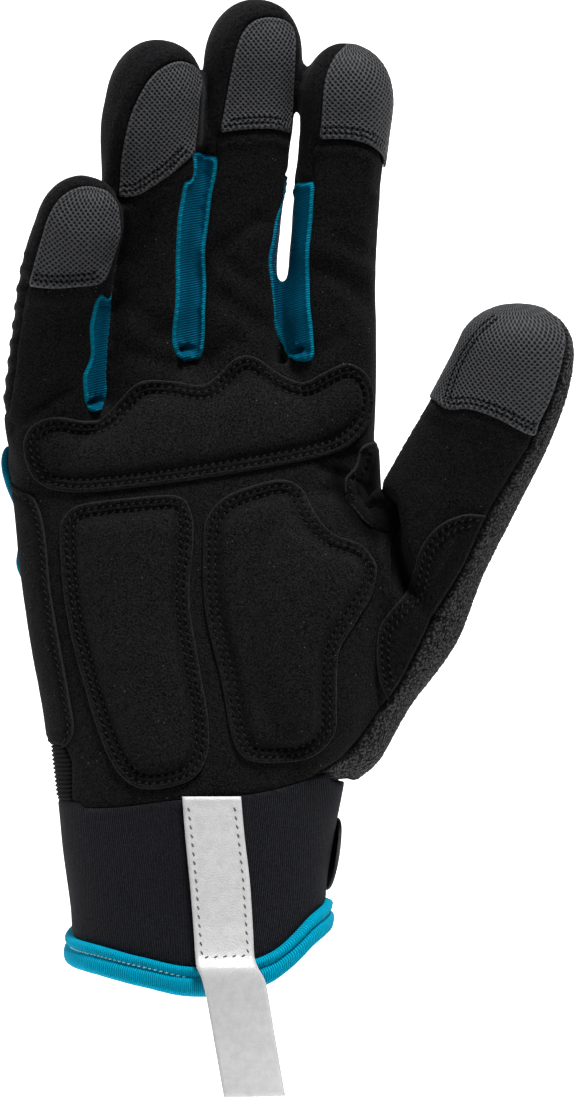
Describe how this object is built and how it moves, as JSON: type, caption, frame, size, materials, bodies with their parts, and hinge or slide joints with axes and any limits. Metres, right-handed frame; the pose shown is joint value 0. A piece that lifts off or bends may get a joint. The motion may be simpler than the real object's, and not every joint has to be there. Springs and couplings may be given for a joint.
{
  "type": "nylon work glove",
  "caption": "Right-hand work glove in worn form, with padded palm overlays, mesh fingertip patches, ribbed finger gussets, terry thumb panel, knit cuff with bound hem and pull tab.",
  "frame": {"origin": "middle of the wrist opening, just above the hem", "axes": "+Z from the wrist to the fingertips, +X towards the thumb, +Y towards the back of the hand, so the palm faces -Y"},
  "size_m": [0.1449, 0.0555, 0.2773],
  "materials": {
    "suede": "black synthetic suede, matt, fine nap",
    "padded_suede": "black synthetic suede over foam, double stitched",
    "back_knit": "black stretch knit",
    "ribbed_teal": "teal ribbed satin knit",
    "terry": "grey-black terry loops",
    "grip_mesh": "grey mesh with raised grip dots",
    "ribbed_elastic": "black ribbed elastic",
    "cuff_knit": "navy-black knit over neoprene, fine upright ribs",
    "teal_elastic": "teal elastic binding",
    "reflective_tape": "light grey reflective tape",
    "strap_tape": "black hook-and-loop tape"
  },
  "bodies": {
    "root": {"palm_panel": "suede", "thumb_panel": "suede", "side_patch": "suede", "crotch_patch": "suede", "thumb_base_patch": "suede", "knuckle_pad": "padded_suede", "heel_pad": "padded_suede", "thumb_ball_pad": "padded_suede", "back_panel": "back_knit", "gusset_ring_little": "ribbed_teal", "gusset_middle_ring": "ribbed_teal", "gusset_index_middle": "ribbed_teal", "side_piping": "ribbed_teal", "thumb_terry": "terry", "tip_patch_little": "grip_mesh", "tip_patch_ring": "grip_mesh", "tip_patch_middle": "grip_mesh", "tip_patch_index": "grip_mesh", "tip_patch_thumb": "grip_mesh", "side_elastic": "ribbed_elastic", "cuff": "cuff_knit", "cuff_binding": "teal_elastic", "pull_tab": "reflective_tape", "wrist_strap": "strap_tape"}
  },
  "joints": []
}
